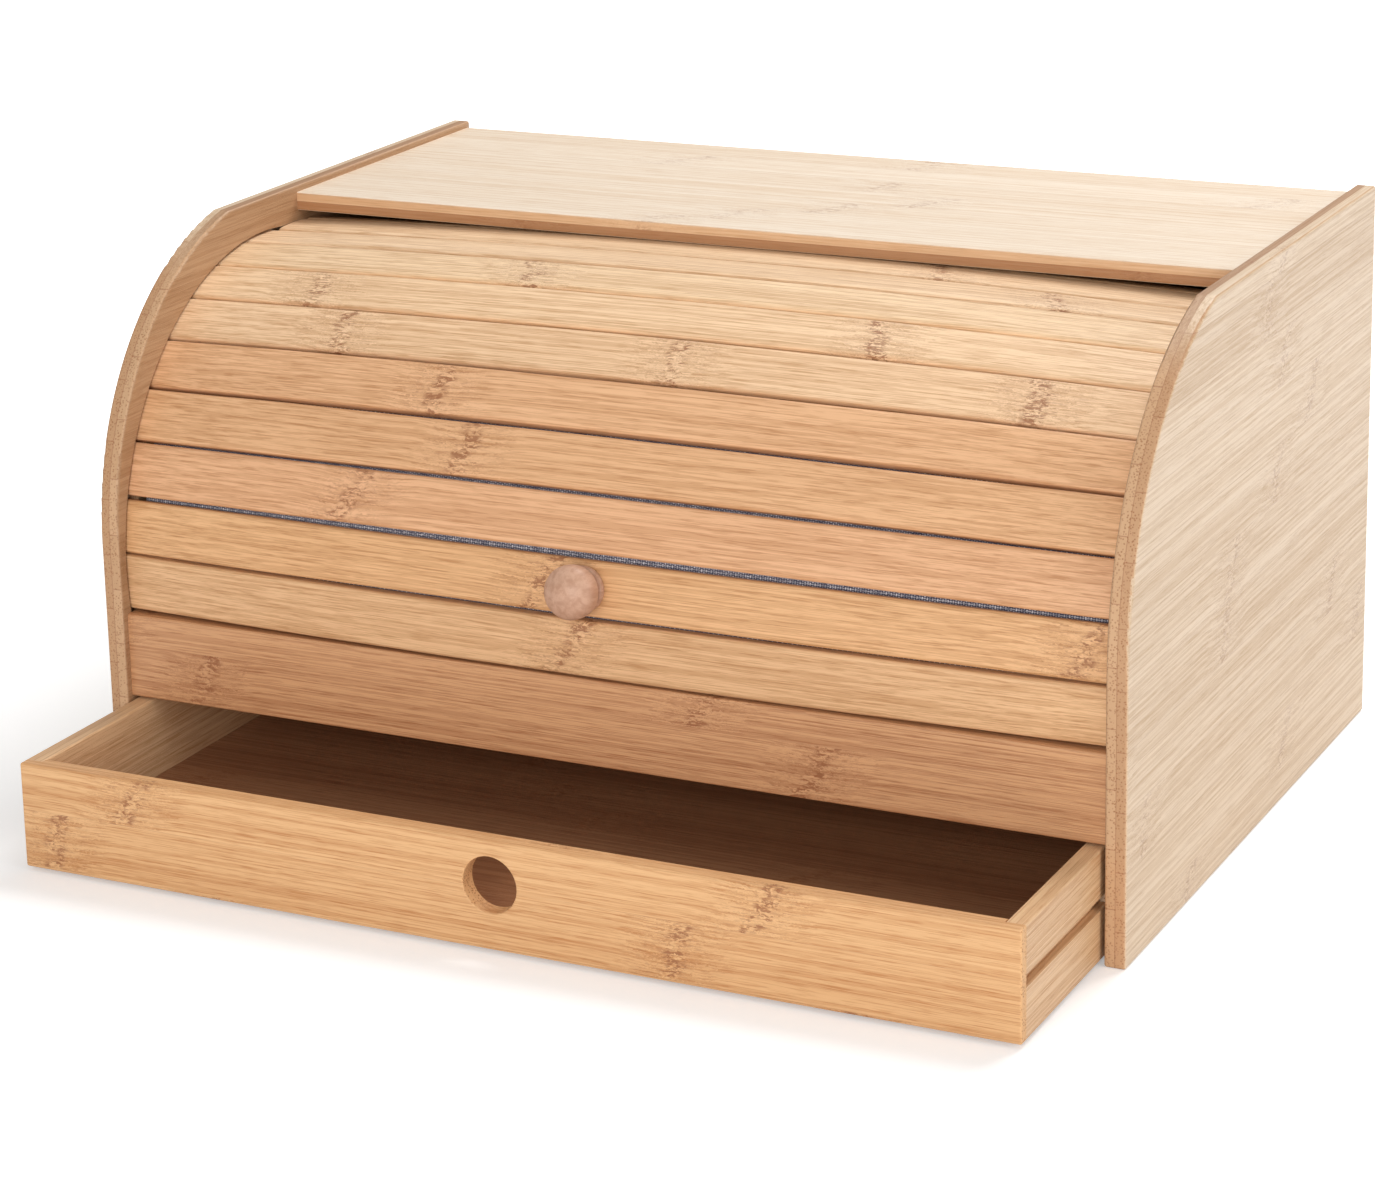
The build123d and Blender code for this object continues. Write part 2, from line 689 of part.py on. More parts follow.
with BuildPart() as drawer_bottom_screws:
    with Locations(*bottom_screw_places):
        add(one_screw.part)

drawer_bottom_screws.part.label = "drawer_bottom_screws"
export_step(drawer_bottom_screws.part, "parts/drawer_bottom_screws.step")

# ---- runners that carry the drawer -----------------------------------------------------------------
with BuildPart() as drawer_runner_left:
    board_box(
        (-inner_x - runner_inlet, runner_front_y, runner_z - runner_height / 2),
        (-inner_x - runner_inlet + runner_width, runner_back_y, runner_z + runner_height / 2),
    )
    with Locations(
        *[Plane(origin=(-inner_x, y, runner_z), z_dir=(1, 0, 0)) for y in pins_at]
    ):
        Hole(pin_radius + pin_clearance)

drawer_runner_left.part.label = "drawer_runner_left"
export_step(drawer_runner_left.part, "parts/drawer_runner_left.step")

with BuildPart() as drawer_runner_right:
    mirror(drawer_runner_left.part, about=Plane.YZ)

drawer_runner_right.part.label = "drawer_runner_right"
export_step(drawer_runner_right.part, "parts/drawer_runner_right.step")

with BuildPart() as runner_pins:
    for side in (-1, 1):
        head_x = inner_x + runner_inlet - runner_width
        middle_x = side * (head_x + pin_length / 2)
        with Locations(
            *[Plane(origin=(middle_x, y, runner_z), z_dir=(1, 0, 0)) for y in pins_at]
        ):
            Cylinder(pin_radius, pin_length)

runner_pins.part.label = "runner_pins"
export_step(runner_pins.part, "parts/runner_pins.step")

print("door range: open", open_angle, "degrees about y", round(axis_y, 3), "z", round(axis_z, 3))
print("drawer: closed", -drawer_rest_opening, "from rest, drawer length", round(drawer_length, 2))
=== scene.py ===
"""Dresses a bamboo bread box: a roll-up door of slats on a woven cloth, over a shallow drawer.

Everything is in metres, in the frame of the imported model. The boards, the knob and the fastenings
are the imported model's own pieces, which get their finishes here. The slats and the cloth behind
them are new surfaces that stand for the plain ones.
"""

import bpy
import numpy as np
from bpy.props import FloatProperty, FloatVectorProperty, PointerProperty
from bpy.types import Operator, Panel, PropertyGroup
from mathutils import Matrix, Vector


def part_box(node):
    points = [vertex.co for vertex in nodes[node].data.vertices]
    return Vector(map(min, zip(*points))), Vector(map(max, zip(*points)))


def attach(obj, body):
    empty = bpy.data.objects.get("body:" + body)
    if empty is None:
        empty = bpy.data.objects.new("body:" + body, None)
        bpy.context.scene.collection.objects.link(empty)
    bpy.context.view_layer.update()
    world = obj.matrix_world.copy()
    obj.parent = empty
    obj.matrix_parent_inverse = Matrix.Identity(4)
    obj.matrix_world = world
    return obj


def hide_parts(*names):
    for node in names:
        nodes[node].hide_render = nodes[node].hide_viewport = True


bl_info = {
    "name": "Bread Box With Drawer",
    "version": (1, 0, 0),
    "blender": (4, 5, 0),
    "location": "3D View > Sidebar > Bread Box",
    "description": "Dresses a bamboo bread box with a roll-up slatted door and a shallow drawer",
    "category": "Object",
}

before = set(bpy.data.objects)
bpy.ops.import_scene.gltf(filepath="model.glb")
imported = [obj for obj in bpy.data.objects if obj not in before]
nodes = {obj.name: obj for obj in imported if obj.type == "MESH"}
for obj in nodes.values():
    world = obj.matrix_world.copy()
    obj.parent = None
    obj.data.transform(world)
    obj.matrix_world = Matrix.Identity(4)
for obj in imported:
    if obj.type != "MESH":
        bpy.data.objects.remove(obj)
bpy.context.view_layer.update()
MM = 0.001

# The grain's three directions as object axes: along the fibres, across the strips and through the
# board.
ALONG_X_UPRIGHT = ("X", "Z", "Y")
ALONG_X_FLAT = ("X", "Y", "Z")
ALONG_Y_UPRIGHT = ("Y", "Z", "X")
ONE_STRIP = 1.0  # a strip wider than any board, so that no glued joint shows
ONE_PLY = 1.0  # a middle beyond any board, so that no second ply shows


def tint(red, green, blue):
    """Linear colour of three display values from 0 to 255."""
    shown = np.array((red, green, blue)) / 255
    linear = np.where(shown <= 0.04045, shown / 12.92, ((shown + 0.055) / 1.055) ** 2.4)
    return tuple(float(value) for value in linear)


# ---- what a user would change ------------------------------------------------------------------
def colour_setting(label, description, default):
    return FloatVectorProperty(
        name=label, description=description, subtype="COLOR", size=3, min=0, max=1, default=default
    )


class BreadBoxWood(PropertyGroup):
    """Colours and scale of the bamboo."""

    panel_pale: colour_setting("Panel pale", "Light fibres of the panels", tint(224, 199, 170))
    panel_dark: colour_setting("Panel dark", "Dark fibres of the panels", tint(197, 165, 130))
    # The top's colours are partly its paler face ply and partly painted sheen from the overhead
    # lamp.
    top_pale_with_painted_sheen: colour_setting("Top pale", "Light fibres of the top panel", tint(243, 226, 205))
    top_dark_with_painted_sheen: colour_setting("Top dark", "Dark fibres of the top panel", tint(220, 192, 161))
    # Each slat's own colour is in SLAT_LOOKS; the upper slats' colours are partly painted sheen.
    slat_pale: FloatVectorProperty(
        name="Slat pale",
        description="Light fibres of the slats, against each slat's own colour",
        size=3,
        default=(1.22, 1.3, 1.38),
    )
    slat_dark: FloatVectorProperty(
        name="Slat dark",
        description="Dark fibres of the slats, against each slat's own colour",
        size=3,
        default=(0.78, 0.69, 0.58),
    )
    rail_pale: colour_setting("Rail pale", "Light fibres of the front rail", tint(214, 162, 117))
    rail_dark: colour_setting("Rail dark", "Dark fibres of the front rail", tint(168, 112, 72))
    drawer_pale: colour_setting("Drawer pale", "Light fibres of the drawer", tint(228, 181, 130))
    drawer_dark: colour_setting("Drawer dark", "Dark fibres of the drawer", tint(190, 131, 79))
    drawer_side_pale: colour_setting(
        "Side pale", "Light fibres of the drawer's sides", tint(230, 193, 150)
    )
    drawer_side_dark: colour_setting(
        "Side dark", "Dark fibres of the drawer's sides", tint(196, 148, 104)
    )
    # The drawer bottom's colours are the front rail's made darker: painted shade inside the drawer.
    bottom_pale_painted_shade: colour_setting(
        "Bottom pale", "Light fibres of the drawer's bottom", tint(176, 126, 90)
    )
    bottom_dark_painted_shade: colour_setting(
        "Bottom dark", "Dark fibres of the drawer's bottom", tint(140, 88, 58)
    )
    mark: colour_setting(
        "Knuckle marks", "Dark flecks where the cane had a knuckle", tint(146, 88, 52)
    )
    knob: colour_setting("Knob", "Turned knob", tint(202, 161, 136))
    strip_width: FloatProperty(
        name="Strip width",
        description="Width of the strips that the boards are glued up from",
        subtype="DISTANCE",
        default=0.0205,
        min=0.005,
        max=0.06,
    )
    knuckle_gap: FloatProperty(
        name="Knuckle gap",
        description="Distance between the knuckles of the cane",
        subtype="DISTANCE",
        default=0.24,
        min=0.05,
        max=1,
    )


class BreadBoxDoor(PropertyGroup):
    """Shape of the slats and the cloth behind them."""

    slat_crown: FloatProperty(
        name="Slat crown",
        description="How far a slat's face is rounded out in its middle",
        subtype="DISTANCE",
        default=0.00018,
        min=0,
        max=0.001,
    )
    slat_round: FloatProperty(
        name="Slat rounding",
        description="Radius of a slat's two outer edges",
        subtype="DISTANCE",
        default=0.002,
        min=0.0005,
        max=0.0025,
    )
    cloth_dark: colour_setting("Cloth dark", "Threads in shade", tint(58, 61, 88))
    cloth_light: colour_setting("Cloth light", "Tops of the threads", tint(238, 239, 247))
    thread_pitch: FloatProperty(
        name="Thread pitch",
        description="Distance from one thread of the cloth to the next",
        subtype="DISTANCE",
        default=0.0009,
        min=0.0002,
        max=0.003,
    )


class BreadBoxStudio(PropertyGroup):
    """Plain studio."""

    floor: colour_setting("Floor", "Colour of the floor", (0.86, 0.86, 0.86))
    key_power: FloatProperty(
        name="Key light", description="Power of the lamp in front in watts", default=17, min=0
    )
    side_power: FloatProperty(
        name="Side light",
        description="Power of the lamp on the right in watts",
        default=6.4,
        min=0,
    )
    over_power: FloatProperty(
        name="Overhead light",
        description="Power of the lamp over the back in watts",
        default=17,
        min=0,
    )
    sky_strength: FloatProperty(
        name="Sky", description="Strength of the light from all round", default=0.4, min=0
    )


# ---- shader helpers ----------------------------------------------------------------------------
def add_node(tree, kind, inputs=None, **settings):
    """Adds one shader node with its settings, and fills its inputs by value or from a socket."""
    made = tree.nodes.new(kind)
    for name, value in settings.items():
        setattr(made, name, value)
    for socket, value in (inputs or {}).items():
        if isinstance(value, bpy.types.NodeSocket):
            tree.links.new(value, made.inputs[socket])
        else:
            made.inputs[socket].default_value = value
    return made


def calc(tree, operation, *values, clamp=False):
    """One step of arithmetic, as a Math node's output."""
    made = add_node(tree, "ShaderNodeMath", dict(enumerate(values)), operation=operation)
    made.use_clamp = clamp
    return made.outputs[0]


def mixed(tree, factor, first, second, blend="MIX"):
    """Blends two colours by a factor."""
    made = add_node(tree, "ShaderNodeMix", data_type="RGBA", blend_type=blend)
    for socket, value in ((0, factor), (6, first), (7, second)):
        if isinstance(value, bpy.types.NodeSocket):
            tree.links.new(value, made.inputs[socket])
        else:
            made.inputs[socket].default_value = value
    return made.outputs[2]


def smooth(tree, value, low, high, start=0.0, end=1.0):
    """Turns a value smoothly from start, at low, to end, at high."""
    made = add_node(
        tree,
        "ShaderNodeMapRange",
        {"Value": value, "From Min": low, "From Max": high, "To Min": start, "To Max": end},
        interpolation_type="SMOOTHSTEP",
    )
    return made.outputs[0]


def grain_noise(tree, vector, along, across, detail=2.0, roughness=0.5, distortion=0.0):
    """Noise stretched along the grain, with its scales in cycles a metre."""
    stretched = add_node(
        tree,
        "ShaderNodeVectorMath",
        {0: vector, 1: (along, across, across)},
        operation="MULTIPLY",
    ).outputs[0]
    return add_node(
        tree,
        "ShaderNodeTexNoise",
        {
            "Vector": stretched,
            "Scale": 1.0,
            "Detail": detail,
            "Roughness": roughness,
            "Distortion": distortion,
        },
    ).outputs["Fac"]


def new_group(name, inputs, outputs):
    """Starts a shader node group with named sockets, and gives its tree and its two ends."""
    tree = bpy.data.node_groups.new(name, "ShaderNodeTree")
    for label, kind, value in inputs:
        socket = tree.interface.new_socket(
            name=label, in_out="INPUT", socket_type="NodeSocket" + kind
        )
        socket.default_value = value
    for label, kind in outputs:
        tree.interface.new_socket(name=label, in_out="OUTPUT", socket_type="NodeSocket" + kind)
    entry = tree.nodes.new("NodeGroupInput").outputs
    leave = tree.nodes.new("NodeGroupOutput").inputs
    return tree, entry, leave


# ---- bamboo ------------------------------------------------------------------------------------
def bamboo_group():
    """Builds the shader group of bamboo board, once.

    The board is glued up from two plies of strips. Each strip takes its own tone and its own place
    along the cane from its number. Long fibres and short dashes are noise stretched along the
    grain.
    A knuckle is a slanting band across the strip, at a regular distance along the cane: dark flames
    and pale drops, among many short dashes. On a face that cuts the fibres, small dots take the
    place of the lines. On the board's narrow sides the wood is deeper in tone, the second ply most.
    The first ply's face is multiplied by a tint of its own, which is painted shade: it darkens the
    side panels' inner faces.
    """
    if "Bamboo board" in bpy.data.node_groups:
        return bpy.data.node_groups["Bamboo board"]
    tree, given, out = new_group(
        "Bamboo board",
        [
            ("Vector", "Vector", (0, 0, 0)),
            ("Cut", "Float", 0.0),
            ("Edge", "Float", 0.0),
            ("Pale", "Color", (1, 1, 1, 1)),
            ("Dark", "Color", (0.5, 0.5, 0.5, 1)),
            ("Mark", "Color", (0.2, 0.1, 0.05, 1)),
            ("Edge Tint", "Color", (1, 1, 1, 1)),
            ("Ply Tint", "Color", (1, 1, 1, 1)),
            ("First Ply Tint", "Color", (1, 1, 1, 1)),
            ("Strip Width", "Float", 0.02),
            ("Strip Shift", "Float", 0.0),
            ("Middle", "Float", 0.0),
            ("Tone Spread", "Float", 0.3),
            ("Knuckle Gap", "Float", 0.25),
            ("Knuckle Shift", "Float", 0.0),
            ("Knuckle Scatter", "Float", 1.0),
            ("Mark Strength", "Float", 1.0),
            ("Seed", "Float", 0.0),
        ],
        [("Color", "Color"), ("Roughness", "Float"), ("Height", "Float")],
    )
    parts = add_node(tree, "ShaderNodeSeparateXYZ", {0: given["Vector"]}).outputs
    along, across, through = parts

    # which ply and which strip
    ply = calc(tree, "GREATER_THAN", through, given["Middle"])
    shifted = calc(tree, "ADD", across, given["Strip Shift"])
    ply_shift = calc(tree, "MULTIPLY", given["Strip Width"], 0.37)
    shifted = calc(tree, "MULTIPLY_ADD", ply, ply_shift, shifted)
    counted = calc(tree, "DIVIDE", shifted, given["Strip Width"])
    number = calc(tree, "FLOOR", counted)
    number = calc(tree, "MULTIPLY_ADD", ply, 31.0, number)
    number = calc(tree, "MULTIPLY_ADD", given["Seed"], 7.31, number)
    chance = add_node(tree, "ShaderNodeTexWhiteNoise", {"W": number}, noise_dimensions="1D")
    chances = add_node(tree, "ShaderNodeSeparateColor", {0: chance.outputs["Color"]}).outputs
    inside = calc(tree, "FRACT", counted)
    from_middle = calc(tree, "MULTIPLY", calc(tree, "SUBTRACT", inside, 0.5), given["Strip Width"])
    half_strip = calc(tree, "MULTIPLY", given["Strip Width"], 0.5)
    from_joint = calc(tree, "SUBTRACT", half_strip, calc(tree, "ABSOLUTE", from_middle))
    joint = smooth(tree, from_joint, 0.00005, 0.00028, 1.0, 0.0)
    glue = calc(tree, "ABSOLUTE", calc(tree, "SUBTRACT", through, given["Middle"]))
    glue = smooth(tree, glue, 0.00004, 0.00022, 1.0, 0.0)

    # the strip's own place along the cane
    moved = calc(tree, "MULTIPLY_ADD", chances[0], 3.0, along)
    moved = calc(tree, "MULTIPLY_ADD", given["Seed"], 1.7, moved)
    own = add_node(tree, "ShaderNodeCombineXYZ", {0: moved, 1: across, 2: through}).outputs[0]

    # knuckles
    scatter = calc(tree, "SUBTRACT", chances[1], 0.5)
    scatter = calc(tree, "MULTIPLY", scatter, given["Knuckle Gap"])
    scatter = calc(tree, "MULTIPLY", scatter, given["Knuckle Scatter"])
    cane = calc(tree, "ADD", along, calc(tree, "ADD", scatter, given["Knuckle Shift"]))
    slant = calc(tree, "MULTIPLY_ADD", chances[2], 0.7, -0.75)
    cane = calc(tree, "MULTIPLY_ADD", from_middle, slant, cane)
    wander = grain_noise(tree, own, 20.0, 150.0, 2.0)
    wander = calc(tree, "MULTIPLY", calc(tree, "SUBTRACT", wander, 0.5), 0.012)
    half_gap = calc(tree, "MULTIPLY", given["Knuckle Gap"], 0.5)
    less_half_gap = calc(tree, "MULTIPLY", half_gap, -1.0)
    away = calc(tree, "WRAP", calc(tree, "ADD", cane, wander), half_gap, less_half_gap)
    distance = calc(tree, "ABSOLUTE", away)
    band = smooth(tree, distance, 0.0018, 0.0055, 1.0, 0.0)
    halo = smooth(tree, distance, 0.003, 0.026, 1.0, 0.0)
    flecks = grain_noise(tree, own, 420.0, 900.0, 2.0, 0.6, 1.2)
    bent = add_node(
        tree,
        "ShaderNodeVectorMath",
        {0: own, 1: calc(tree, "MULTIPLY", flecks, calc(tree, "MULTIPLY", halo, 0.0016))},
        operation="ADD",
    ).outputs[0]
    flames = grain_noise(tree, bent, 230.0, 620.0, 3.0, 0.55, 1.4)
    patchy = smooth(tree, grain_noise(tree, own, 120.0, 200.0, 2.0), 0.3, 0.55, 0.25, 1.0)
    dark_flames = calc(tree, "MULTIPLY", smooth(tree, flames, 0.48, 0.58), band)
    dark_flames = calc(tree, "MULTIPLY", dark_flames, patchy)
    pale_flames = calc(tree, "MULTIPLY", smooth(tree, flames, 0.37, 0.46, 1.0, 0.0), band)
    dashes = grain_noise(tree, bent, 150.0, 1700.0, 2.0, 0.6, 0.3)
    halo_dashes = calc(tree, "MULTIPLY", smooth(tree, dashes, 0.5, 0.64), halo)
    marks = calc(tree, "MULTIPLY_ADD", halo_dashes, 0.45, dark_flames, clamp=True)
    marks = calc(tree, "MULTIPLY", marks, given["Mark Strength"])

    # fibres, and the broad bands of tone that they lie in
    bands = grain_noise(tree, own, 4.0, 150.0, 3.0, 0.55)
    lines = grain_noise(tree, bent, 3.0, 850.0, 4.0, 0.75)
    short = grain_noise(tree, bent, 70.0, 1900.0, 2.0, 0.6)
    fibre = smooth(tree, lines, 0.44, 0.56)
    dash = smooth(tree, short, 0.5, 0.62)
    tone = calc(tree, "MULTIPLY", smooth(tree, bands, 0.3, 0.7), 0.2)
    tone = calc(tree, "MULTIPLY_ADD", fibre, 0.46, tone)
    tone = calc(tree, "MULTIPLY_ADD", dash, 0.38, tone)
    own_tone = calc(tree, "MULTIPLY", calc(tree, "SUBTRACT", chances[2], 0.5), given["Tone Spread"])
    tone = calc(tree, "ADD", tone, own_tone)

    # the face that cuts the fibres
    dots = add_node(
        tree,
        "ShaderNodeTexVoronoi",
        {"Vector": given["Vector"], "Scale": 1150.0, "Randomness": 0.9},
    ).outputs["Distance"]
    dots = smooth(tree, dots, 0.2, 0.45, 1.0, 0.0)
    patches = grain_noise(tree, given["Vector"], 60.0, 160.0, 2.0)
    cut_tone = calc(tree, "MULTIPLY_ADD", dots, smooth(tree, patches, 0.35, 0.7, 0.35, 1.0), 0.15)
    cut_tone = calc(tree, "ADD", cut_tone, own_tone)
    lined = calc(tree, "SUBTRACT", 1.0, given["Cut"])
    tone = calc(tree, "MULTIPLY", tone, lined)
    tone = calc(tree, "MULTIPLY_ADD", cut_tone, given["Cut"], tone, clamp=True)

    colour = mixed(tree, tone, given["Pale"], given["Dark"])
    colour = mixed(tree, calc(tree, "MULTIPLY", pale_flames, 0.85), colour, given["Pale"])
    # The first ply's face takes the first-ply multiplier: painted shade, which darkens the side
    # panels' inner faces.
    on_face = calc(tree, "SUBTRACT", 1.0, given["Edge"])
    first = calc(tree, "MULTIPLY", on_face, calc(tree, "SUBTRACT", 1.0, ply))
    colour = mixed(tree, first, colour, given["First Ply Tint"], "MULTIPLY")
    colour = mixed(tree, given["Edge"], colour, given["Edge Tint"], "MULTIPLY")
    second = calc(tree, "MULTIPLY", given["Edge"], ply)
    colour = mixed(tree, second, colour, given["Ply Tint"], "MULTIPLY")
    seams = calc(tree, "MAXIMUM", joint, glue)
    seams = calc(tree, "MULTIPLY", seams, calc(tree, "MULTIPLY_ADD", given["Edge"], 0.35, 0.16))
    colour = mixed(tree, seams, colour, given["Mark"])
    seen_marks = calc(tree, "MULTIPLY", marks, calc(tree, "MULTIPLY", lined, 0.8))
    colour = mixed(tree, seen_marks, colour, given["Mark"])
    pores = calc(tree, "MULTIPLY", dots, calc(tree, "MULTIPLY", given["Cut"], 0.34))
    colour = mixed(tree, pores, colour, given["Mark"])
    rough = calc(tree, "MULTIPLY_ADD", fibre, 0.1, 0.42)
    rough = calc(tree, "MULTIPLY_ADD", given["Cut"], 0.2, rough)
    high = calc(tree, "MULTIPLY", calc(tree, "ADD", fibre, dash), -0.35)
    high = calc(tree, "MULTIPLY", high, lined)
    high = calc(tree, "MULTIPLY_ADD", marks, -0.5, high)
    high = calc(tree, "MULTIPLY_ADD", seams, -0.6, high)
    high = calc(tree, "MULTIPLY_ADD", calc(tree, "MULTIPLY", dots, given["Cut"]), -0.5, high)
    tree.links.new(colour, out["Color"])
    tree.links.new(rough, out["Roughness"])
    tree.links.new(high, out["Height"])
    return tree


def bamboo(name, axes, pale, dark, turned=None, edges=None, **values):
    """Makes the material of one bamboo board or slat. Its values are the group's, by name.

    A slat gives its middle and its tilt, by which its grain is turned about X. A board gives the
    two tints of its narrow sides: over the whole board, and over its second ply besides. That
    deeper tone fades where a side faces up, so that such a side keeps the face's pale colour:
    painted light from above.
    """
    wood = bpy.context.scene.bread_box_wood
    material = bpy.data.materials.new(name)
    material.use_nodes = True
    tree = material.node_tree
    tree.nodes.clear()
    place = add_node(tree, "ShaderNodeTexCoord").outputs
    where = place["Object"]
    if turned:
        centre, angle = turned
        where = add_node(
            tree,
            "ShaderNodeVectorRotate",
            {"Vector": where, "Center": centre, "Angle": angle},
            rotation_type="X_AXIS",
        ).outputs[0]
    at = add_node(tree, "ShaderNodeSeparateXYZ", {0: where}).outputs
    facing = add_node(tree, "ShaderNodeSeparateXYZ", {0: place["Normal"]}).outputs
    ordered = [at[axis] for axis in axes]
    if axes == ALONG_Y_UPRIGHT:
        ordered[2] = calc(tree, "ABSOLUTE", ordered[2])
    vector = add_node(tree, "ShaderNodeCombineXYZ", dict(enumerate(ordered))).outputs[0]
    cut = smooth(tree, calc(tree, "ABSOLUTE", facing[axes[0]]), 0.35, 0.8)
    group = add_node(tree, "ShaderNodeGroup", node_tree=bamboo_group())
    tree.links.new(vector, group.inputs["Vector"])
    tree.links.new(cut, group.inputs["Cut"])
    if edges:
        edge = smooth(tree, calc(tree, "ABSOLUTE", facing[axes[2]]), 0.4, 0.9, 1.0, 0.0)
        # A narrow side that faces up keeps the face's pale colour: painted light from above.
        edge = calc(tree, "MULTIPLY", edge, smooth(tree, facing["Z"], 0.8, 0.99, 1.0, 0.0))
        tree.links.new(edge, group.inputs["Edge"])
        group.inputs["Edge Tint"].default_value = (*edges[0], 1)
        group.inputs["Ply Tint"].default_value = (*edges[1], 1)
    group.inputs["Pale"].default_value = (*pale, 1)
    group.inputs["Dark"].default_value = (*dark, 1)
    group.inputs["Mark"].default_value = (*wood.mark, 1)
    group.inputs["Strip Width"].default_value = wood.strip_width
    group.inputs["Knuckle Gap"].default_value = wood.knuckle_gap
    for label, value in values.items():
        group.inputs[label.replace("_", " ").title()].default_value = value
    bump = add_node(
        tree,
        "ShaderNodeBump",
        {"Strength": 0.3, "Distance": 0.0004, "Height": group.outputs["Height"]},
    )
    shader = add_node(
        tree,
        "ShaderNodeBsdfPrincipled",
        {
            "Base Color": group.outputs["Color"],
            "Roughness": group.outputs["Roughness"],
            "Normal": bump.outputs[0],
            "Specular IOR Level": 0.4,
            "Coat Weight": 0.1,
            "Coat Roughness": 0.3,
        },
    )
    end = add_node(tree, "ShaderNodeOutputMaterial")
    tree.links.new(shader.outputs[0], end.inputs[0])
    return material


def dress(material, *names):
    """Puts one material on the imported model's pieces."""
    for name in names:
        mesh = nodes[name].data
        mesh.materials.clear()
        mesh.materials.append(material)


def new_piece(name, points, faces, material, body, stands_for, sharp=35):
    """Makes a smooth-shaded mesh piece at the origin, and puts it on its body."""
    mesh = bpy.data.meshes.new(name)
    mesh.from_pydata(points.tolist(), [], faces)
    mesh.validate()
    mesh.polygons.foreach_set("use_smooth", np.ones(len(mesh.polygons), bool))
    mesh.set_sharp_from_angle(angle=np.radians(sharp))
    mesh.materials.append(material)
    piece = bpy.data.objects.new(name, mesh)
    bpy.context.scene.collection.objects.link(piece)
    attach(piece, body)
    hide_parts(*stands_for)
    return piece


# ---- carcass -----------------------------------------------------------------------------------
class BREADBOX_OT_carcass(Operator):
    """Gives the side panels, top, back, floor, rail and runners their bamboo"""

    bl_idname = "bread_box.carcass"
    bl_label = "Carcass"

    def execute(self, context):
        wood = context.scene.bread_box_wood
        low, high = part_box("side_panel_right")
        middle = (low.x + high.x) / 2
        for seed, name in ((3.0, "side_panel_left"), (4.0, "side_panel_right")):
            dress(
                bamboo(
                    name,
                    ALONG_Y_UPRIGHT,
                    wood.panel_pale,
                    wood.panel_dark,
                    edges=((0.82, 0.66, 0.53), (0.9, 0.85, 0.81)),
                    # darkens the inner faces: painted shade
                    first_ply_tint=(0.65, 0.51, 0.4, 1),
                    middle=middle,
                    seed=seed,
                    tone_spread=0.35,
                    mark_strength=0.45,
                ),
                name,
            )
        flat_boards = (
            # The top's colours hold painted sheen besides its paler face ply.
            ("top_panel", wood.top_pale_with_painted_sheen, wood.top_dark_with_painted_sheen, 0.2, 11.0),
            ("compartment_floor", wood.panel_pale, wood.panel_dark, 0.35, 12.0),
        )
        for name, pale, dark, spread, seed in flat_boards:
            low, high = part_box(name)
            dress(
                bamboo(
                    name,
                    ALONG_X_FLAT,
                    pale,
                    dark,
                    edges=((0.72, 0.52, 0.34), (1.16, 1.24, 1.4)),
                    middle=(low.z + high.z) / 2,
                    strip_shift=-low.y,
                    seed=seed,
                    tone_spread=spread,
                    mark_strength=0.45,
                ),
                name,
            )
        low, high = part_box("back_panel")
        dress(
            bamboo(
                "back_panel",
                ALONG_X_UPRIGHT,
                wood.panel_pale,
                wood.panel_dark,
                middle=(low.y + high.y) / 2,
                seed=14.0,
                mark_strength=0.5,
            ),
            "back_panel",
        )
        low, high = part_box("front_rail")
        dress(
            bamboo(
                "front_rail",
                ALONG_X_UPRIGHT,
                wood.rail_pale,
                wood.rail_dark,
                middle=(low.y + high.y) / 2,
                strip_shift=0.001,
                seed=21.0,
                tone_spread=0.3,
            ),
            "front_rail",
        )
        dress(
            bamboo(
                "drawer_runners",
                ALONG_Y_UPRIGHT,
                wood.panel_pale,
                wood.panel_dark,
                strip_width=ONE_STRIP,
                middle=ONE_PLY,
                seed=31.0,
                mark_strength=0.0,
            ),
            "drawer_runner_left",
            "drawer_runner_right",
        )
        return {"FINISHED"}


# ---- roll-up door ------------------------------------------------------------------------------
SLAT_SLOPE = 0.099  # a slat's sides slope in by this much of their depth
SLAT_BOW = 3.8 * MM  # how far a slat's middle stands out past its ends
SLAT_BEVEL = 0.5 * MM  # at a slat's two back edges
SLAT_END_PART = 1.5 * MM  # length of the slat's end from which its section is read
CLOTH_DEPTH = 0.4 * MM  # the cloth's middle line behind the slats' backs
CLOTH_THICKNESS = 0.5 * MM
CLOTH_MARGIN = 1.0 * MM  # the cloth's first and last edges, in from the end slats' edges

PAST_END = 0.9  # the second knuckle's place on a slat that shows only one

# Per slat, from the lowest: the middle colour of its fibres, and two knuckles' places along X. A
# third one follows at the same distance where it still falls on the slat. From the sixth slat up
# the colours are paler: partly the slats' own tone, partly painted sheen from the overhead lamp.
SLAT_LOOKS = (
    ((216, 170, 125), (-0.006, PAST_END)),
    ((214, 164, 116), (-0.017, 0.179)),
    ((214, 162, 120), (-0.095, PAST_END)),
    ((214, 164, 120), (-0.053, PAST_END)),
    ((216, 166, 123), (-0.071, PAST_END)),
    ((224, 184, 144), (-0.118, 0.014)),
    ((226, 188, 148), (-0.139, 0.082)),
    ((226, 190, 150), (-0.060, PAST_END)),
    ((226, 190, 152), (0.130, PAST_END)),
    ((226, 190, 152), (0.080, PAST_END)),
    ((222, 184, 144), (-0.090, PAST_END)),
)


def mesh_points(name):
    """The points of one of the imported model's pieces."""
    mesh = nodes[name].data
    points = np.empty(len(mesh.vertices) * 3, np.float32)
    mesh.vertices.foreach_get("co", points)
    return points.reshape(-1, 3).astype(float)


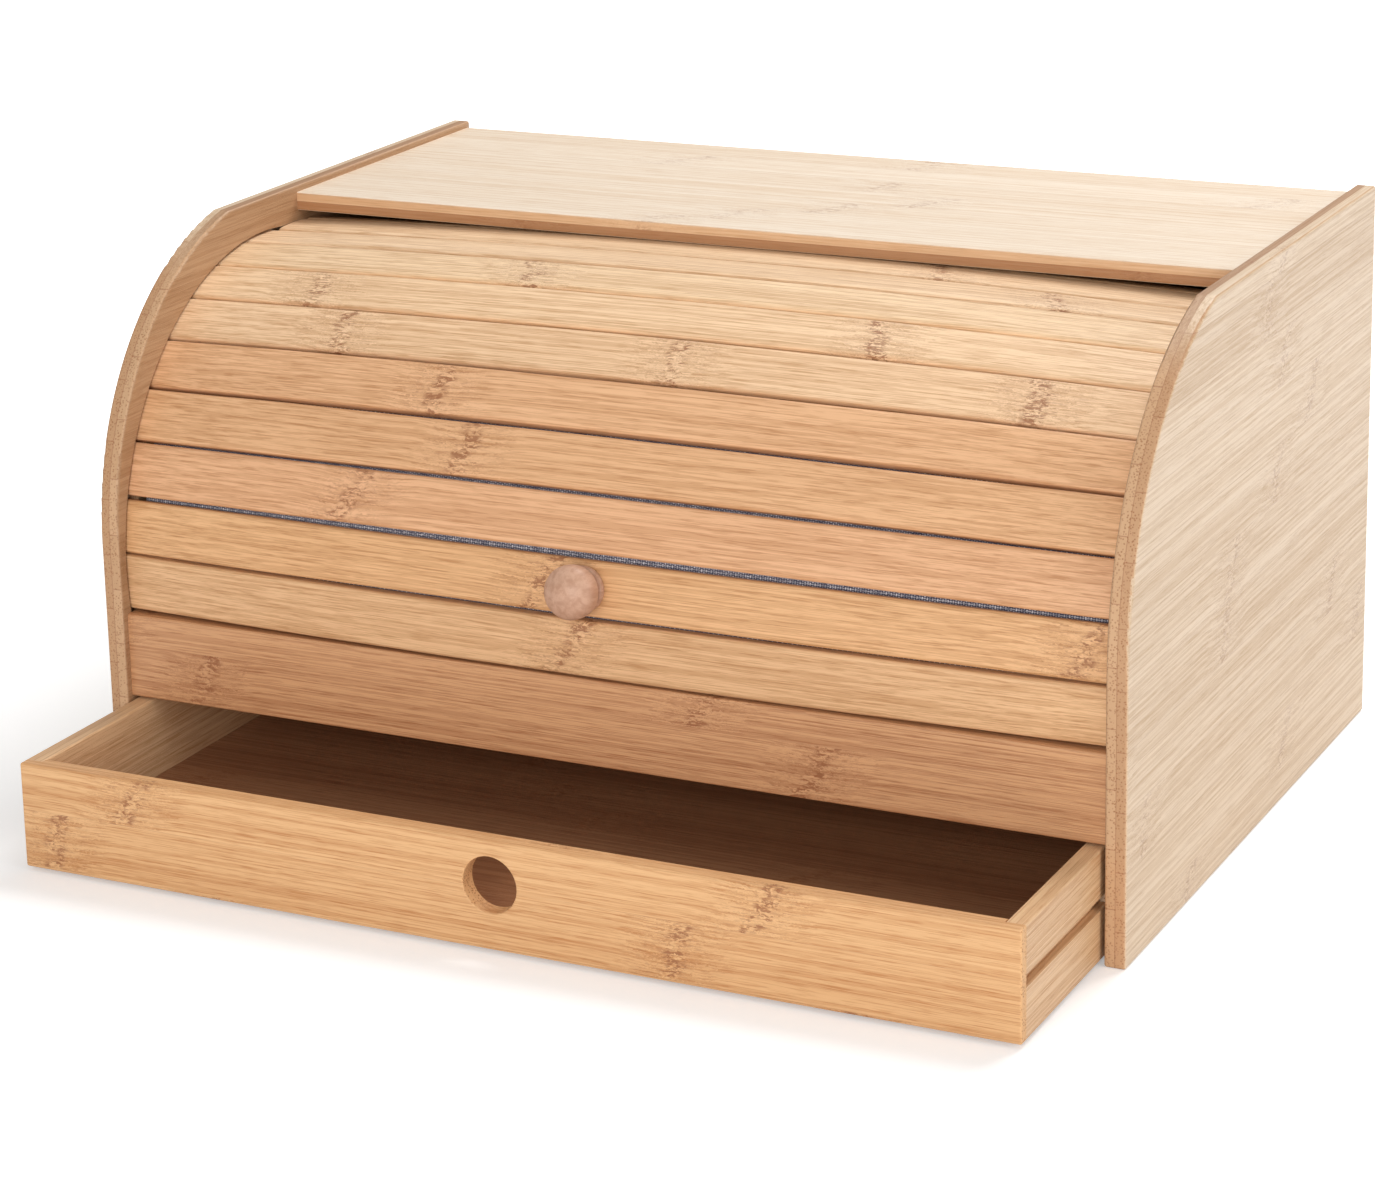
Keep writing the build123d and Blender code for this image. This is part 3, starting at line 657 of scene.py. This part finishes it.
def slat_frame(name):
    """Reads how a slat lies from its mesh.

    A slat is thinnest square to its face, so its outward direction is the one along which the
    points of its left end span least. The result is the point midway across its face at its ends,
    the directions outward and across, its thickness, half its width and its two ends along X.
    """
    every = mesh_points(name)
    points = every[every[:, 0] < every[:, 0].min() + SLAT_END_PART]
    turns = np.radians(np.arange(-20, 120, 0.02))
    spans = np.ptp(points[:, 1:] @ np.stack([-np.cos(turns), np.sin(turns)]), axis=0)
    tilt = turns[spans.argmin()]
    outward = np.array((0, -np.cos(tilt), np.sin(tilt)))
    across = np.array((0, np.sin(tilt), np.cos(tilt)))
    away, aside = points @ outward, points @ across
    middle = away.max() * outward + (aside.min() + aside.max()) / 2 * across
    start, end = every[:, 0].min(), every[:, 0].max()
    return middle, outward, across, np.ptp(away), np.ptp(aside) / 2, start, end


def bow_at(places):
    """How far the slats stand out past their ends at these places along X: an arc of a circle."""
    reach = np.ptp(mesh_points("slat_01")[:, 0]) / 2
    radius = reach**2 / (2 * SLAT_BOW) + SLAT_BOW / 2
    return np.sqrt(radius**2 - places**2) - radius + SLAT_BOW


def slow_wave(places, seed, size):
    """A gentle wave along the slat: three sines with wavelengths of 60 to 400 mm."""
    draw = np.random.default_rng(seed)
    waves = 2 * np.pi / draw.uniform(0.06, 0.4, 3)
    starts = draw.uniform(0, 2 * np.pi, 3)
    return size * np.sin(np.outer(places, waves) + starts).mean(1)


def slat_surface(name, seed, crown, rounding):
    """Points and faces of one slat.

    The section is a trapezoid whose sides slope in towards the back, with its two outer corners
    turned as quarter circles, two small bevels at the back and a slightly arched face. It is
    carried along X and out along the bow, while its half width and corner radius follow slow waves.
    """
    middle, outward, across, thickness, half, start, end = slat_frame(name)
    places = np.linspace(start, end, 65)
    wide = (half + slow_wave(places, seed, 0.12 * MM))[:, None]
    turn = (rounding + slow_wave(places, seed + 50, 0.3 * MM))[:, None]
    quarter = np.linspace(0, np.pi / 2, 9)
    back = np.array((-thickness, SLAT_BEVEL - thickness))
    side_depth = np.concatenate(
        [np.broadcast_to(back, (len(places), 2)), turn * (np.sin(quarter) - 1)], axis=1
    )
    side_width = np.concatenate(
        [wide - SLAT_BEVEL, wide + np.zeros(1), wide + turn * (np.cos(quarter) - 1)], axis=1
    )
    side_width = side_width + side_depth * SLAT_SLOPE
    face = np.linspace(1, -1, 13)[1:-1]
    face_width = (wide - turn) * face
    face_depth = crown * (1 - face**2) + np.zeros_like(face_width)
    section_width = np.concatenate([side_width, face_width, -side_width[:, ::-1]], axis=1)
    section_depth = np.concatenate([side_depth, face_depth, side_depth[:, ::-1]], axis=1)
    section_depth = section_depth + bow_at(places)[:, None]
    points = middle + section_depth[..., None] * outward + section_width[..., None] * across
    points[..., 0] = places[:, None]
    return points.reshape(-1, 3), tube_faces(len(places), section_width.shape[1])


def tube_faces(stations, around):
    """Quads between neighbouring sections of a closed tube, and one face over each end."""
    row, column = np.meshgrid(np.arange(stations - 1), np.arange(around), indexing="ij")
    following = (column + 1) % around
    quads = np.stack(
        [
            row * around + column,
            row * around + following,
            (row + 1) * around + following,
            (row + 1) * around + column,
        ],
        axis=-1,
    ).reshape(-1, 4)
    first = list(range(around))[::-1]
    last = list(range((stations - 1) * around, stations * around))
    return [*quads.tolist(), first, last]


class BREADBOX_OT_slats(Operator):
    """Makes the slats of the roll-up door, each with its own tone and knuckles; the upper slats'
    paler tone is partly painted sheen
    """

    bl_idname = "bread_box.slats"
    bl_label = "Slats"

    def execute(self, context):
        wood = context.scene.bread_box_wood
        door = context.scene.bread_box_door
        for index, (shade, knuckles) in enumerate(SLAT_LOOKS):
            node = f"slat_{index + 1:02d}"
            middle, outward = slat_frame(node)[:2]
            colour = np.array(tint(*shade))
            material = bamboo(
                node,
                ALONG_X_UPRIGHT,
                tuple(np.clip(colour * wood.slat_pale, 0, 1)),
                tuple(np.clip(colour * wood.slat_dark, 0, 1)),
                turned=(tuple(middle), float(-np.arctan2(outward[2], -outward[1]))),
                strip_width=ONE_STRIP,
                strip_shift=0.5 - middle[2],
                middle=ONE_PLY,
                knuckle_gap=knuckles[1] - knuckles[0],
                knuckle_shift=-knuckles[0],
                knuckle_scatter=0.0,
                tone_spread=0.0,
                seed=40.0 + index,
            )
            points, faces = slat_surface(node, index, door.slat_crown, door.slat_round)
            new_piece("bamboo_" + node, points, faces, material, "door", [node])
        return {"FINISHED"}


def weave_group():
    """Builds the shader group of plain weave, once.

    Across the cloth's own map, one sine runs over the warp and one over the weft. Where their
    product is positive the warp is on top, and elsewhere the weft, so the threads cross over and
    under by turns. The height is the larger of the two threads' rounded tops.
    """
    if "Plain weave" in bpy.data.node_groups:
        return bpy.data.node_groups["Plain weave"]
    tree, given, out = new_group(
        "Plain weave",
        [
            ("Vector", "Vector", (0, 0, 0)),
            ("Pitch", "Float", 0.001),
            ("Dark", "Color", (0, 0, 0, 1)),
            ("Light", "Color", (1, 1, 1, 1)),
        ],
        [("Color", "Color"), ("Roughness", "Float"), ("Height", "Float")],
    )
    parts = add_node(tree, "ShaderNodeSeparateXYZ", {0: given["Vector"]}).outputs
    turn = calc(tree, "DIVIDE", np.pi, given["Pitch"])
    wave_u = calc(tree, "SINE", calc(tree, "MULTIPLY", parts[0], turn))
    wave_v = calc(tree, "SINE", calc(tree, "MULTIPLY", parts[1], turn))
    product = calc(tree, "MULTIPLY", wave_u, wave_v)
    over = calc(tree, "GREATER_THAN", product, 0.0)
    warp = calc(tree, "POWER", calc(tree, "ABSOLUTE", wave_u), 0.6)
    weft = calc(tree, "POWER", calc(tree, "ABSOLUTE", wave_v), 0.6)
    high = calc(
        tree,
        "ADD",
        calc(tree, "MULTIPLY", over, warp),
        calc(
            tree,
            "MULTIPLY",
            calc(tree, "SUBTRACT", 1.0, over),
            calc(tree, "MULTIPLY", weft, 0.85),
        ),
    )
    fuzz = grain_noise(tree, given["Vector"], 2600.0, 2600.0, 2.0, 0.6)
    slub = grain_noise(tree, given["Vector"], 300.0, 900.0, 2.0, 0.6)
    # The thread's colour follows its height: painted light on the tops and painted shade in the
    # hollows between threads.
    lit = smooth(tree, calc(tree, "MULTIPLY", high, calc(tree, "ADD", fuzz, 0.45)), 0.5, 0.95)
    lit = calc(tree, "MULTIPLY", lit, smooth(tree, slub, 0.3, 0.7, 0.35, 1.0))
    tree.links.new(mixed(tree, lit, given["Dark"], given["Light"]), out["Color"])
    tree.links.new(calc(tree, "MULTIPLY_ADD", fuzz, 0.15, 0.8), out["Roughness"])
    tree.links.new(calc(tree, "MULTIPLY_ADD", fuzz, 0.25, high), out["Height"])
    return tree


class BREADBOX_OT_cloth(Operator):
    """Makes the woven cloth that joins the slats"""

    bl_idname = "bread_box.cloth"
    bl_label = "Cloth"

    def execute(self, context):
        door = context.scene.bread_box_door
        material = bpy.data.materials.new("woven_cloth")
        material.use_nodes = True
        tree = material.node_tree
        shader = tree.nodes["Principled BSDF"]
        place = add_node(tree, "ShaderNodeUVMap", uv_map="cut").outputs[0]
        group = add_node(tree, "ShaderNodeGroup", node_tree=weave_group())
        tree.links.new(place, group.inputs["Vector"])
        group.inputs["Pitch"].default_value = door.thread_pitch
        group.inputs["Dark"].default_value = (*door.cloth_dark, 1)
        group.inputs["Light"].default_value = (*door.cloth_light, 1)
        bump = add_node(
            tree,
            "ShaderNodeBump",
            {"Strength": 0.8, "Distance": 0.0003, "Height": group.outputs["Height"]},
        )
        tree.links.new(group.outputs["Color"], shader.inputs["Base Color"])
        tree.links.new(group.outputs["Roughness"], shader.inputs["Roughness"])
        tree.links.new(bump.outputs[0], shader.inputs["Normal"])
        shader.inputs["Sheen Weight"].default_value = 0.25
        shader.inputs["Specular IOR Level"].default_value = 0.2

        low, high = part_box("backing_cloth")
        path, away, run = cloth_path()
        across = np.linspace(low.x, high.x, 93)
        ripple = 0.04 * MM * np.sin(across * 2 * np.pi / 0.045)[:, None] * np.sin(run * 100)
        points = np.empty((len(across), len(run), 3))
        points[..., 0] = across[:, None]
        points[..., 1:] = path + (bow_at(across)[:, None] + ripple)[..., None] * away
        row, column = np.meshgrid(
            np.arange(len(across) - 1), np.arange(len(run) - 1), indexing="ij"
        )
        corner = row * len(run) + column
        quads = np.stack(
            [corner, corner + 1, corner + len(run) + 1, corner + len(run)], axis=-1
        ).reshape(-1, 4)
        piece = new_piece(
            "door_canvas",
            points.reshape(-1, 3),
            quads.tolist(),
            material,
            "door",
            ["backing_cloth"],
            sharp=180,
        )
        mesh = piece.data
        corners = np.empty(len(mesh.loops), np.int32)
        mesh.loops.foreach_get("vertex_index", corners)
        cut = np.stack([np.repeat(across, len(run)), np.tile(run, len(across))], axis=-1)
        flat_map = mesh.uv_layers.new(name="cut").data
        flat_map.foreach_set("uv", cut[corners].ravel().astype(np.float32))
        thick = piece.modifiers.new("thickness", "SOLIDIFY")
        thick.thickness = CLOTH_THICKNESS
        thick.offset = 0
        return {"FINISHED"}


def cloth_path():
    """The cloth's middle line across the slats' ends, with its way outward and distance along it.

    It lies flat behind each slat, from near the lowest slat's lower edge to near the last slat's
    far edge, and turns where two neighbouring slats' lines meet. Its way outward is the slat's, and
    at a turn it lies halfway and is longer, so that the cloth stays against both slats as they bow.
    The turns are eased by averaging.
    """
    lines = []
    for index in range(len(SLAT_LOOKS)):
        middle, outward, across, thickness, half, _, _ = slat_frame(f"slat_{index + 1:02d}")
        start = (middle - outward * (thickness + CLOTH_DEPTH))[1:]
        lines.append((start, across[1:], half, outward[1:]))
    first, first_way, first_half, first_out = lines[0]
    last, last_way, last_half, last_out = lines[-1]
    corners = [first - first_way * (first_half - CLOTH_MARGIN)]
    ways = [first_out]
    for (here, way, half, out), (there, other_way, _, other_out) in zip(lines, lines[1:]):
        reach = half + 0.15 * MM
        if out @ other_out < 0.9999:
            reach = np.linalg.solve(np.stack([way, -other_way], axis=1), there - here)[0]
        corners.append(here + way * reach)
        ways.append((out + other_out) / (1 + out @ other_out))
    corners.append(last + last_way * (last_half - CLOTH_MARGIN))
    ways.append(last_out)
    corners, ways = np.array(corners), np.array(ways)
    along = np.concatenate([[0], np.cumsum(np.linalg.norm(np.diff(corners, axis=0), axis=1))])
    run = np.linspace(0, along[-1], 241)
    path, away = (
        np.stack([np.interp(run, along, values[:, axis]) for axis in (0, 1)], axis=1)
        for values in (corners, ways)
    )
    eased = (path[:-2] + 2 * path[1:-1] + path[2:]) / 4
    return np.concatenate([path[:1], eased, path[-1:]]), away, run


# ---- knob --------------------------------------------------------------------------------------
class BREADBOX_OT_knob(Operator):
    """Gives the turned knob its wood"""

    bl_idname = "bread_box.knob"
    bl_label = "Knob"

    def execute(self, context):
        wood = context.scene.bread_box_wood
        material = bpy.data.materials.new("turned_wood")
        material.use_nodes = True
        tree = material.node_tree
        shader = tree.nodes["Principled BSDF"]
        place = add_node(tree, "ShaderNodeTexCoord").outputs["Object"]
        turned = add_node(
            tree, "ShaderNodeMapping", {"Vector": place, "Rotation": (0.15, 0.0, 1.57)}
        ).outputs[0]
        bands = grain_noise(tree, turned, 45.0, 420.0, 3.0, 0.55, 0.3)
        pores = grain_noise(tree, turned, 260.0, 2600.0, 2.0, 0.6)
        pale = (*wood.knob, 1)
        deep = (*(np.array(wood.knob) * (0.72, 0.62, 0.55)), 1)
        colour = mixed(tree, smooth(tree, bands, 0.35, 0.7, 0.0, 0.65), pale, deep)
        colour = mixed(tree, smooth(tree, pores, 0.56, 0.7, 0.0, 0.4), colour, deep)
        bump = add_node(
            tree, "ShaderNodeBump", {"Strength": 0.2, "Distance": 0.0002, "Height": pores}
        )
        tree.links.new(colour, shader.inputs["Base Color"])
        tree.links.new(smooth(tree, pores, 0.4, 0.7, 0.42, 0.55), shader.inputs["Roughness"])
        tree.links.new(bump.outputs[0], shader.inputs["Normal"])
        shader.inputs["Specular IOR Level"].default_value = 0.35
        dress(material, "knob")
        return {"FINISHED"}


# ---- drawer ------------------------------------------------------------------------------------
class BREADBOX_OT_drawer(Operator):
    """Gives the drawer's boards their bamboo"""

    bl_idname = "bread_box.drawer"
    bl_label = "Drawer"

    def execute(self, context):
        wood = context.scene.bread_box_wood
        for name, seed in (("drawer_front", 61.0), ("drawer_back", 62.0)):
            low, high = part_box(name)
            dress(
                bamboo(
                    name,
                    ALONG_X_UPRIGHT,
                    wood.drawer_pale,
                    wood.drawer_dark,
                    middle=(low.y + high.y) / 2,
                    strip_shift=-low.z - 0.001,
                    seed=seed,
                    tone_spread=0.15,
                ),
                name,
            )
        low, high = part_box("drawer_side_right")
        dress(
            bamboo(
                "drawer_sides",
                ALONG_Y_UPRIGHT,
                wood.drawer_side_pale,
                wood.drawer_side_dark,
                middle=(low.x + high.x) / 2,
                strip_shift=-low.z - 0.001,
                seed=65.0,
                tone_spread=0.3,
            ),
            "drawer_side_left",
            "drawer_side_right",
        )
        # The bottom's darker colours are painted shade.
        dress(
            bamboo(
                "drawer_bottom",
                ALONG_X_FLAT,
                wood.bottom_pale_painted_shade,
                wood.bottom_dark_painted_shade,
                middle=ONE_PLY,
                seed=67.0,
                tone_spread=0.35,
            ),
            "drawer_bottom",
        )
        return {"FINISHED"}


# ---- fastenings --------------------------------------------------------------------------------
class BREADBOX_OT_fastenings(Operator):
    """Gives the dowels their wood and the screws and pins their metal"""

    bl_idname = "bread_box.fastenings"
    bl_label = "Fastenings"

    def execute(self, context):
        wood = context.scene.bread_box_wood
        dowel = bamboo(
            "dowel_wood",
            ALONG_X_FLAT,
            wood.panel_pale,
            wood.panel_dark,
            strip_width=ONE_STRIP,
            middle=ONE_PLY,
            mark_strength=0.0,
            seed=71.0,
        )
        dress(dowel, "carcass_dowels", "drawer_dowels")
        material = bpy.data.materials.new("plated_steel")
        material.use_nodes = True
        tree = material.node_tree
        shader = tree.nodes["Principled BSDF"]
        place = add_node(tree, "ShaderNodeTexCoord").outputs["Object"]
        cloudy = grain_noise(tree, place, 700.0, 700.0, 3.0, 0.6)
        bright, dull = (*tint(196, 194, 186), 1), (*tint(158, 156, 150), 1)
        tree.links.new(
            mixed(tree, smooth(tree, cloudy, 0.35, 0.65), bright, dull), shader.inputs["Base Color"]
        )
        tree.links.new(smooth(tree, cloudy, 0.3, 0.7, 0.28, 0.45), shader.inputs["Roughness"])
        shader.inputs["Metallic"].default_value = 1.0
        dress(material, "runner_pins", "knob_screw", "drawer_bottom_screws")
        return {"FINISHED"}


# ---- stage -------------------------------------------------------------------------------------
# Where the photograph was taken from: the camera's place, its turn from straight on, its height
# above level, its lean, and the focal length over a 36 mm sensor with the middle shifted.
CAMERA_PLACE = (0.5776, -1.1948, 0.5048)
CAMERA_AZIMUTH, CAMERA_ELEVATION, CAMERA_LEAN = np.radians((27.49, 14.95, -1.61))
CAMERA_LENS = 98.68
CAMERA_SHIFT = (0.0749, -0.1484)


def area_light(name, place, target, size, power, colour):
    """A square soft lamp at a place, facing a target."""
    data = bpy.data.lights.new(name, "AREA")
    data.shape = "SQUARE"
    data.size = size
    data.energy = power
    data.color = colour
    lamp = bpy.data.objects.new(name, data)
    bpy.context.scene.collection.objects.link(lamp)
    turn = (Vector(place) - Vector(target)).to_track_quat("Z", "Y").to_matrix().to_4x4()
    lamp.matrix_world = Matrix.Translation(place) @ turn


class BREADBOX_OT_stage(Operator):
    """Makes the floor, the lights and the camera"""

    bl_idname = "bread_box.stage"
    bl_label = "Stage"

    def execute(self, context):
        studio = context.scene.bread_box_studio
        scene = context.scene
        scene.view_settings.view_transform = "Standard"

        world = bpy.data.worlds.new("studio")
        world.use_nodes = True
        scene.world = world
        tree = world.node_tree
        tree.nodes.clear()
        rays = add_node(tree, "ShaderNodeLightPath").outputs
        seen = calc(tree, "MAXIMUM", rays["Is Camera Ray"], rays["Is Transmission Ray"])
        strength = smooth(tree, seen, 0.0, 1.0, studio.sky_strength, 1.0)
        sky = add_node(tree, "ShaderNodeBackground", {"Color": (1, 1, 1, 1), "Strength": strength})
        end = add_node(tree, "ShaderNodeOutputWorld")
        tree.links.new(sky.outputs[0], end.inputs[0])

        size = 3.0
        mesh = bpy.data.meshes.new("floor")
        corners = [(-size, -size, 0), (size, -size, 0), (size, size, 0), (-size, size, 0)]
        mesh.from_pydata(corners, [], [(0, 1, 2, 3)])
        floor = bpy.data.objects.new("floor", mesh)
        scene.collection.objects.link(floor)
        material = bpy.data.materials.new("studio_floor")
        material.use_nodes = True
        tree = material.node_tree
        tree.nodes.clear()
        rays = add_node(tree, "ShaderNodeLightPath").outputs
        matt = add_node(
            tree, "ShaderNodeBsdfDiffuse", {"Color": (*studio.floor, 1), "Roughness": 0.0}
        )
        place = add_node(tree, "ShaderNodeTexCoord").outputs["Object"]
        far = add_node(tree, "ShaderNodeVectorMath", {0: place}, operation="LENGTH").outputs["Value"]
        bright = smooth(tree, far, 0.25, 0.9, 0.3, 1.0)
        seen = calc(tree, "MAXIMUM", rays["Is Camera Ray"], rays["Is Glossy Ray"])
        glow = add_node(
            tree,
            "ShaderNodeEmission",
            {"Color": (1, 1, 1, 1), "Strength": calc(tree, "MULTIPLY", seen, bright)},
        )
        both = add_node(tree, "ShaderNodeAddShader", {0: matt.outputs[0], 1: glow.outputs[0]})
        end = add_node(tree, "ShaderNodeOutputMaterial")
        tree.links.new(both.outputs[0], end.inputs[0])
        mesh.materials.append(material)

        middle = (0.0, 0.0, 0.1)
        area_light("key", (0.35, -1.8, 0.55), middle, 0.9, studio.key_power, (1.0, 0.99, 0.97))
        area_light("side", (1.6, -0.35, 0.55), middle, 0.8, studio.side_power, (1.0, 1.0, 1.0))
        area_light("over", (0.25, 0.75, 1.4), middle, 0.8, studio.over_power, (1.0, 1.0, 1.0))

        data = bpy.data.cameras.new("camera")
        data.lens = CAMERA_LENS
        data.sensor_width = 36
        data.shift_x, data.shift_y = CAMERA_SHIFT
        data.clip_start, data.clip_end = 0.05, 20
        camera = bpy.data.objects.new("camera", data)
        scene.collection.objects.link(camera)
        camera.matrix_world = camera_matrix()
        scene.camera = camera
        return {"FINISHED"}


def camera_matrix():
    """Camera's place and turn: it looks back along its direction, then leans about its view."""
    azimuth, elevation, lean = CAMERA_AZIMUTH, CAMERA_ELEVATION, CAMERA_LEAN
    back = np.array(
        (
            np.sin(azimuth) * np.cos(elevation),
            -np.cos(azimuth) * np.cos(elevation),
            np.sin(elevation),
        )
    )
    right = np.array((np.cos(azimuth), np.sin(azimuth), 0))
    up = np.cross(back, right)
    leaned_right = np.cos(lean) * right + np.sin(lean) * up
    leaned_up = np.cos(lean) * up - np.sin(lean) * right
    matrix = np.eye(4)
    matrix[:3, 0], matrix[:3, 1], matrix[:3, 2] = leaned_right, leaned_up, back
    matrix[:3, 3] = CAMERA_PLACE
    return Matrix(matrix.tolist())


# ---- panel and start ---------------------------------------------------------------------------
OPERATORS = (
    BREADBOX_OT_carcass,
    BREADBOX_OT_slats,
    BREADBOX_OT_cloth,
    BREADBOX_OT_knob,
    BREADBOX_OT_drawer,
    BREADBOX_OT_fastenings,
    BREADBOX_OT_stage,
)
SETTINGS = {
    "bread_box_wood": BreadBoxWood,
    "bread_box_door": BreadBoxDoor,
    "bread_box_studio": BreadBoxStudio,
}


class VIEW3D_PT_bread_box(Panel):
    """Lists the bread box's settings and its steps"""

    bl_label = "Bread Box"
    bl_space_type = "VIEW_3D"
    bl_region_type = "UI"
    bl_category = "Bread Box"

    def draw(self, context):
        for name, group in SETTINGS.items():
            box = self.layout.box()
            for setting in group.__annotations__:
                box.prop(getattr(context.scene, name), setting)
        for operator in OPERATORS:
            self.layout.operator(operator.bl_idname)


def register():
    for group in SETTINGS.values():
        bpy.utils.register_class(group)
    for name, group in SETTINGS.items():
        setattr(bpy.types.Scene, name, PointerProperty(type=group))
    for operator in OPERATORS:
        bpy.utils.register_class(operator)
    bpy.utils.register_class(VIEW3D_PT_bread_box)


def unregister():
    bpy.utils.unregister_class(VIEW3D_PT_bread_box)
    for operator in reversed(OPERATORS):
        bpy.utils.unregister_class(operator)
    for name in SETTINGS:
        delattr(bpy.types.Scene, name)
    for group in reversed(SETTINGS.values()):
        bpy.utils.unregister_class(group)


def main():
    """Registers the add-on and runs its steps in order."""
    register()
    for step in ("carcass", "slats", "cloth", "knob", "drawer", "fastenings", "stage"):
        getattr(bpy.ops.bread_box, step)()


if __name__ == "__main__":
    main()
